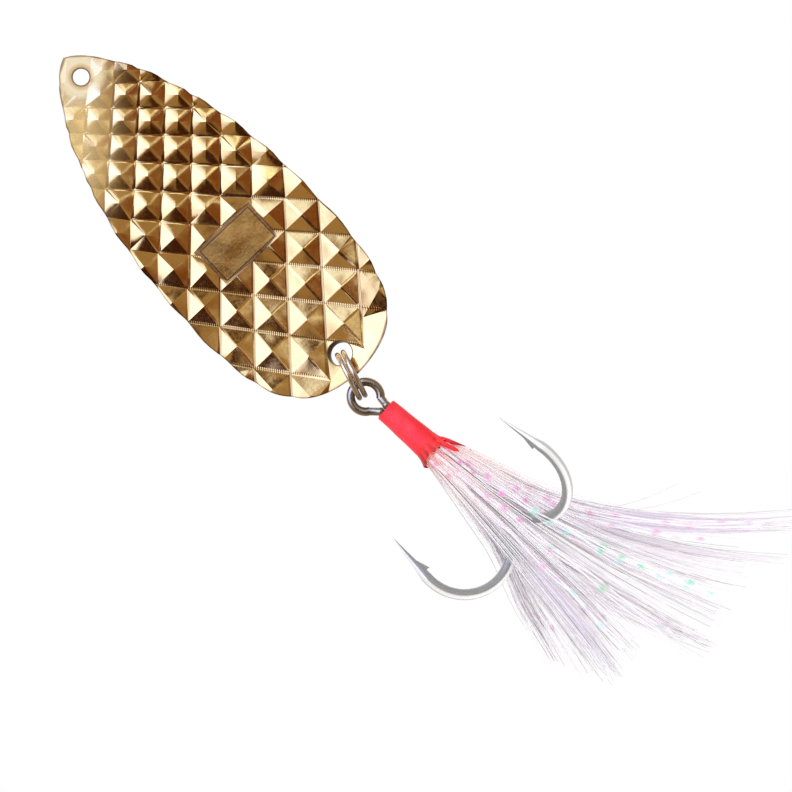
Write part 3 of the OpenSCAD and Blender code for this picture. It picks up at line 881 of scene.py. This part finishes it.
def wound_place(k, a):
    """Turns of thread side by side, drawn in to the shank at the eye end, with painted shade in the
    grooves between turns, on the upper side and at the first ring
    """
    f = k / WRAP_ROWS
    u = WRAP_START + (WRAP_END - WRAP_START) * f
    turn = u / THREAD_PITCH - a / (2 * math.pi)
    ridge = abs(math.sin(math.pi * turn))
    r = WRAP_FRONT_R + (WRAP_REAR_R - WRAP_FRONT_R) * f ** 1.3
    r += 0.02 * ridge + 0.02 * math.sin(3 * a + 5 * f) * math.sin(9 * f)
    if k == 0:
        return u, WRAP_MOUTH_R, (0.6, 0.5, 0.5)
    if k < START_ROWS:
        r -= 0.16 * (1 - k / START_ROWS) ** 2
    groove_shade = 0.86 + 0.14 * ridge
    upper = max(0, math.cos(a)) ** 2
    return u, r, tuple(groove_shade * (1 - loss * upper) for loss in UPPER_SHADE_LOSS)


def flare_place(k, a):
    """Folds that open toward the feathers, with a ragged mouth and an inner face; painted shade darkens
    the folds, the lower side and the inner face
    """
    mouth = FLARE_END - 0.55 * math.sin(a) + 0.14 * math.sin(5 * a + 1) + 0.08 * math.sin(13 * a)
    fold = math.sin(12 * a + 0.6 * math.sin(3 * a))
    if k <= OUTER_ROWS:
        f = k / OUTER_ROWS
        r = WRAP_REAR_R - 0.02 + (FLARE_R - WRAP_REAR_R) * f ** 1.9
        r += 0.055 * fold * f + 0.02 * math.sin(31 * a) * f
        shade = 1 - (0.3 - 0.3 * fold) * f ** 0.6 - 0.5 * f * max(0, -math.cos(a)) ** 3
    else:
        f = 1 - (k - OUTER_ROWS) / INNER_ROWS * 0.6
        r = WRAP_REAR_R - 0.14 + (FLARE_R - WRAP_REAR_R) * f ** 1.9 + 0.055 * fold * f
        shade = 0.55
    return FLARE_START + (mouth - FLARE_START) * f, r, (shade, shade * 0.7, shade * 0.4)


def loose_end(name, tip, root, widths, shades, mat, replaced):
    """An end of thread that stands off the flare"""
    made = Strands()
    root, tip = np.array(root), np.array(tip)
    last = len(widths) - 1
    points = [root + (tip - root) * k / last for k in range(last + 1)]
    made.tube(points, widths, [(c, c * 0.8, c * 0.6) for c in shades], sides=8)
    made.piece(name, mat, replaced)


def build_thread():
    red = thread_material()
    round_piece("wound_thread", WRAP_ROWS, WRAP_SIDES, wound_place, red, ["thread_wrap"])
    round_piece("thread_flare", OUTER_ROWS + INNER_ROWS, FLARE_SIDES, flare_place, red, ["wrap_collar"])
    loose_end(
        "pointed_thread", (12.25, 2.75, 0.5), (9.3, 1.45, 0.75),
        (0.5, 0.62, 0.6, 0.5, 0.36, 0.22, 0.06), (0.95, 0.9, 0.85, 0.7, 0.55, 0.45, 0.4), red,
        ["long_thread_end"],
    )
    loose_end(
        "blunt_thread", (12.05, 1.85, 1.5), (9.3, 1.1, 1.35),
        (0.5, 0.6, 0.58, 0.52, 0.52, 0.5, 0.12), (1.0, 1.0, 0.95, 0.95, 0.9, 0.9, 0.85), red,
        ["short_thread_end"],
    )


# Feathers and tinsel

# Each strand: its root's angle round the shank, how far its tip is short of LONGEST, the tip's v and w
LONGEST = 48.5
UPPER = ((0, 1.4, 21.5, -1.6), (334, 0.4, 16, -3.6), (26, 2, 11.6, 0.8), (308, 0.8, 7.4, -4))
FRONT = ((80, 0.9, 3.7, 5.2), (112, 2, -1.8, 8.2), (142, 4.4, -6, 5))
REAR = ((188, 8.4, -8.7, -1.4), (216, 5.4, -7, -4), (246, 2.6, -3.4, -6.8))
UPPER_TINSEL = ((12, 5, 18.2, 1.4), (22, 8, 13.8, 2.8), (30, 3, 9.4, 3.6))
FRONT_TINSEL = ((66, 9, 5.8, 7.6), (96, 5, 1.4, 9), (126, 8, -2.8, 8.4))
REAR_TINSEL = ((200, 12, -7.8, -4.8), (231, 6, -6.6, -7.6))
# Where the strands leave the shank: u and the radius
FEATHER_ROOT = (9.5, 1.2)
TINSEL_ROOT = (10.2, 1.7)
# How a strand leaves the shank: the middle control point's share of the run, along and in v and w
CLOSE, SPREAD, SAG = (0.5, 0.03, 0.03), (0.45, 0.15, 0.15), (0.45, -1.5, 0.15)


def strand_line(place, root_u, root_r, leave):
    a = math.radians(place[0])
    root = np.array((root_u, root_r * math.cos(a), root_r * math.sin(a)))
    tip = np.array((LONGEST - place[1], place[2], place[3]))
    middle = root + (tip - root) * np.array(leave)
    return root, middle, tip


def along(line, t):
    root, middle, tip = line
    return (1 - t) ** 2 * root + 2 * t * (1 - t) * middle + t * t * tip


class Strands:
    """Collects fine tubes and ribbons, then makes one mesh with a tint for each point"""

    def __init__(self):
        self.verts, self.faces, self.tints = [], [], []

    def skin(self, points, reference, tints, sides, section):
        """Joins a section at each point to the next; section(k, side, over) gives its corners"""
        points = [Vector(p) for p in points]
        first = len(self.verts)
        for k, p in enumerate(points):
            ahead = points[min(k + 1, len(points) - 1)] - points[max(k - 1, 0)]
            side = ahead.cross(Vector(reference)).normalized()
            over = side.cross(ahead).normalized()
            self.verts += [hook_place(*(p + corner)) for corner in section(k, side, over)]
            self.tints += [tints[k]] * sides
        for k in range(len(points) - 1):
            for j in range(sides):
                a = first + k * sides + j
                b = first + k * sides + (j + 1) % sides
                self.faces.append((a, b, b + sides, a + sides))

    def tube(self, points, sizes, tints, sides=3):
        angles = [2 * math.pi * j / sides for j in range(sides)]

        def section(k, side, over):
            return [(side * math.cos(a) + over * math.sin(a)) * sizes[k] / 2 for a in angles]

        self.skin(points, (0.3, 1, 0.2), tints, sides, section)

    def ribbon(self, points, widths, tints, turns, thick=0.03):
        def section(k, side, over):
            c, s = math.cos(turns[k]), math.sin(turns[k])
            across = (side * c + over * s) * widths[k] / 2
            up = (over * c - side * s) * thick / 2
            return [-across - up, across - up, across + up, up - across]

        self.skin(points, (0, 0, 1), tints, 4, section)

    def piece(self, name, mat, replaced):
        finish_piece(name, self.verts, self.faces, self.tints, mat, replaced)


def strand_material(name, roughness, metallic, glow):
    """Colour and cover come from the strand's own tint; a painted glow of the tint squared, brightest in
    the palest, stands in for transmitted light
    """
    mat, t, bsdf = material(name)
    tint = node(t, "ShaderNodeAttribute", {"attribute_name": "tint"}).outputs
    mottle = smooth(t, noise(t, object_place(t), 1500.0, 2.0), 0.3, 0.7, 0.94, 1.0)
    grey = node(t, "ShaderNodeCombineColor", i0=mottle, i1=mottle, i2=mottle)
    link(t, mix(t, 1.0, tint["Color"], grey.outputs[0], "MULTIPLY"), bsdf.inputs["Base Color"])
    link(t, tint["Alpha"], bsdf.inputs["Alpha"])
    # Painted glow: the tint squared, given off as light
    painted_glow_tint = mix(t, 1.0, tint["Color"], tint["Color"], "MULTIPLY")
    link(t, painted_glow_tint, bsdf.inputs["Emission Color"])
    bsdf.inputs["Emission Strength"].default_value = glow
    bsdf.inputs["Roughness"].default_value = roughness
    bsdf.inputs["Metallic"].default_value = metallic
    return mat


# Barbs in a feather, and the feathers that have more or fewer
FIBRES = 85
OTHER_FIBRES = {"upper_tuft_3": 55, "upper_tuft_4": 50, "front_tuft_1": 95, "front_tuft_2": 50}
FIBRE_STEPS = 12
WHITE_TINT, ROSE_TINT, LILAC_TINT = (0.97, 0.96, 0.97), (0.96, 0.88, 0.90), (0.86, 0.81, 0.88)
# The dark tint is the feathers' own dark barbs and, in shaded feathers, painted shade
GREY_TINT, DARK_TINT = (0.66, 0.64, 0.66), (0.42, 0.41, 0.42)
FIBRE_TINTS = (WHITE_TINT,) * 3 + (ROSE_TINT,) * 2 + (LILAC_TINT,) * 2 + (GREY_TINT,) * 2
CREAM_TINT = (0.91, 0.79, 0.77)
ROOT_TINT = (0.95, 0.46, 0.43)
# The tips of two barbs that stray from the first upper feather
STRAYS = ((33.3, 15.5, 0.6), (35.9, 16.5, 1.2))
# Feathers whose web shows as a band: its colour
VANES = {
    "upper_tuft_1": (0.60, 0.50, 0.64),
    "front_tuft_1": (0.56, 0.50, 0.53),
    "front_tuft_3": (0.58, 0.49, 0.62),
}
VANE_STRIPS, VANE_STEPS = 14, 16
# Feathers in the others' shade, with more dark barbs, which are painted shade
SHADED_TUFTS = ("front_tuft_3", "rear_tuft_1", "rear_tuft_2", "rear_tuft_3")
# Feathers that end short of the others
REACH = {
    "front_tuft_2": 0.87, "front_tuft_3": 0.94,
    "rear_tuft_1": 0.9, "rear_tuft_2": 0.92, "rear_tuft_3": 0.92,
}
# Feathers that a hook's bend pushes aside: by how much, in mm
PUSHED = {"rear_tuft_1": 1.5, "rear_tuft_2": 0.6}


def blended(a, b, f):
    return tuple(p + (q - p) * f for p, q in zip(a, b))


def fibre(made, line, reach, offset, bow, rise, aside, size, tint):
    """One barb: close to the others at the root, where it may rise off them, on its own at the tip

    A barb behind a hook is pushed aside from there on.
    """
    points, sizes, tints = [], [], []
    own_tint_from = 0.08 if tint == DARK_TINT else 0.4
    for k in range(FIBRE_STEPS + 1):
        f = k / FIBRE_STEPS
        t = f * reach
        spread = 0.16 + 0.84 * t ** 1.2
        sway = math.sin(math.pi * f)
        # 12.2 makes the highest place of the rise's curve 1
        lift = rise * 12.2 * f * (1 - f) ** 4 - aside * eased(t, 0.4, 0.7)
        v = offset[0] * spread + bow[0] * sway + lift
        w = offset[1] * spread + bow[1] * sway
        points.append(along(line, t) + np.array((0, v, w)))
        sizes.append(size * (1 + 1.2 * (1 - f) ** 3 - 0.5 * f ** 4))
        nearby = blended(ROOT_TINT, CREAM_TINT, min(1, f / 0.1))
        tints.append(blended(nearby, tint, min(1, f / own_tint_from)))
    made.tube(points, sizes, tints)


def vane(made, line, tint):
    """The feather's thin web: clear strips side by side, widest midway"""
    for j in range(VANE_STRIPS):
        first = len(made.verts)
        cover = rng.uniform(0.3, 0.9)
        own = blended(tint, WHITE_TINT, rng.uniform(0, 0.5))
        end = rng.uniform(0.9, 1.0)
        for k in range(VANE_STEPS + 1):
            f = k / VANE_STEPS
            p = along(line, 0.42 + 0.56 * f * end)
            half = math.sin(math.pi * (0.12 + 0.8 * f)) ** 0.8
            for side in (j, j + 1.1):
                across = half * (2 * side / VANE_STRIPS - 1)
                made.verts.append(hook_place(p[0] - 0.5 * across, p[1] + across, p[2] + 0.8))
                made.tints.append((*own, cover * min(1, f / 0.3) * (1 - f ** 6)))
        for k in range(VANE_STEPS):
            a = first + 2 * k
            made.faces.append((a, a + 1, a + 3, a + 2))


def tuft(name, place, leave, mat, replaced):
    made = Strands()
    line = strand_line(place, *FEATHER_ROOT, leave)
    ragged = 0.07 if name in VANES else 0.13
    # Dark barbs: a few are the feathers' own, and the larger share in the shaded feathers is painted
    # shade
    dark_share = 0.17 if name in SHADED_TUFTS else 0.08
    for _ in range(OTHER_FIBRES.get(name, FIBRES)):
        own = line
        if leave == SAG:
            own = strand_line(place, *FEATHER_ROOT, blended(leave, SPREAD, rng.random()))
        reach = max(0.5, 1.02 - abs(rng.gauss(0, ragged))) * REACH.get(name, 1.0)
        wide = 2.2 if rng.random() < 0.07 else 1.0
        offset = (rng.gauss(0, 0.85) * wide, rng.gauss(0, 0.7) * wide)
        bow = (rng.gauss(0, 0.3), rng.gauss(0, 0.25))
        rise = rng.uniform(0, 1.3) if leave == CLOSE and rng.random() < 0.5 else 0
        size = rng.uniform(0.05, 0.1) * (1.5 if rise else 1.0)
        tint = rng.choice(FIBRE_TINTS)
        if rise == 0 and rng.random() < dark_share:
            size = rng.uniform(0.07, 0.12)
            tint = DARK_TINT
        fibre(made, own, reach, offset, bow, rise, PUSHED.get(name, 0), size, tint)
    if name in VANES:
        vane(made, line, VANES[name])
    if name == "upper_tuft_1":
        for tip in STRAYS:
            stray = (line[0], line[1], np.array(tip))
            fibre(made, stray, 1.0, (0, 0), (-0.5, 0), rise=0, aside=0, size=0.09, tint=GREY_TINT)
    made.piece(name, mat, replaced)


# Painted reflections along each tinsel strand, from its root: pink, red, green, cyan glints, or plain
# film
GLINTS = {
    "p": (0.84, 0.36, 0.66, 0.6), "r": (0.80, 0.26, 0.40, 0.6), "g": (0.30, 0.74, 0.42, 0.6),
    "c": (0.50, 0.84, 0.84, 0.5), ".": (0.95, 0.93, 0.96, 0.35),
}
GLINT_STEPS = (0, 0, 0.6, 1, 0.6, 0, 0)
ROOT_GLINTS = 6
MORE_FILMS = 3


def film(made, line, glints, offset):
    """One ribbon of film, wider and coloured where a glint is painted on it"""
    points, widths, tints, turns = [], [], [], []
    each = len(GLINT_STEPS)
    steps = each * len(glints)
    twist = rng.uniform(-0.5, 0.5)
    plain = GLINTS["."]
    for k in range(steps + 1):
        t = k / steps
        if k % each == 0:
            bright = rng.uniform(0.6, 1.0)
        glint = GLINTS[glints[min(k // each, len(glints) - 1)]]
        strength = 0 if glint == plain else GLINT_STEPS[k % each] * bright
        v = offset[0] * t + 0.15 * math.sin(21 * t + 5 * twist)
        w = offset[1] * t + 0.15 * math.cos(17 * t + 5 * twist)
        points.append(along(line, t) + np.array((0, v, w)))
        tints.append(blended(plain, glint, strength))
        widths.append(0.18 + 0.3 * strength)
        turns.append(twist + 0.5 * math.sin(9 * t))
    made.ribbon(points, widths, tints, turns)


def tinsel_strand(name, place, glints, leave, mat, replaced):
    """A strand of four ribbons, with the same glints in another order on three of them

    The glints near the root are shuffled apart from the others, so that they stay there.
    """
    made = Strands()
    line = strand_line(place, *TINSEL_ROOT, leave)
    film(made, line, glints, (0, 0))
    near, far = glints[:ROOT_GLINTS], glints[ROOT_GLINTS:]
    for _ in range(MORE_FILMS):
        shuffled = "".join(rng.sample(near, len(near)) + rng.sample(far, len(far)))
        film(made, line, shuffled, (rng.uniform(-0.9, 0.9), rng.uniform(-0.8, 0.8)))
    made.piece(name, mat, replaced)


def build_feathers():
    barb = strand_material("feather_barb", roughness=0.55, metallic=0.0, glow=0.19)
    groups = (("upper", UPPER, CLOSE), ("front", FRONT, SPREAD), ("rear", REAR, SPREAD))
    for group, places, leave in groups:
        for k, place in enumerate(places, 1):
            name = f"{group}_tuft_{k}"
            tuft(name, place, SAG if name == "front_tuft_1" else leave, barb, [f"{group}_feather_{k}"])


def build_tinsel():
    pearl = strand_material("pearl_tinsel", roughness=0.2, metallic=0.15, glow=0.2)
    groups = (
        ("upper", UPPER_TINSEL, CLOSE, ("p.p..p..p.p...", ".p..p.p....p..", "..p..p..c..cg.")),
        ("front", FRONT_TINSEL, SPREAD, (".p..p..gc.gc..", "p..p...g..p...", ".r.p..c.p..c..")),
        ("rear", REAR_TINSEL, SPREAD, (".p..r.c.p.....", "r..p..p.c..c..")),
    )
    for group, places, leave, glints in groups:
        for k, (place, marks) in enumerate(zip(places, glints), 1):
            tinsel_strand(f"{group}_pearl_{k}", place, marks, leave, pearl, [f"{group}_tinsel_{k}"])


def colour_butts():
    mat, t, bsdf = material("feather_butt")
    tint = mix(t, noise(t, object_place(t), 3000.0), rgb(0.75, 0.72, 0.68), rgb(0.9, 0.88, 0.86))
    link(t, tint, bsdf.inputs["Base Color"])
    bsdf.inputs["Roughness"].default_value = 0.8
    nodes["feather_butts"].data.materials.clear()
    nodes["feather_butts"].data.materials.append(mat)


build_camera()
build_stage()
build_blade()
build_metal()
build_thread()
build_feathers()
build_tinsel()
colour_butts()
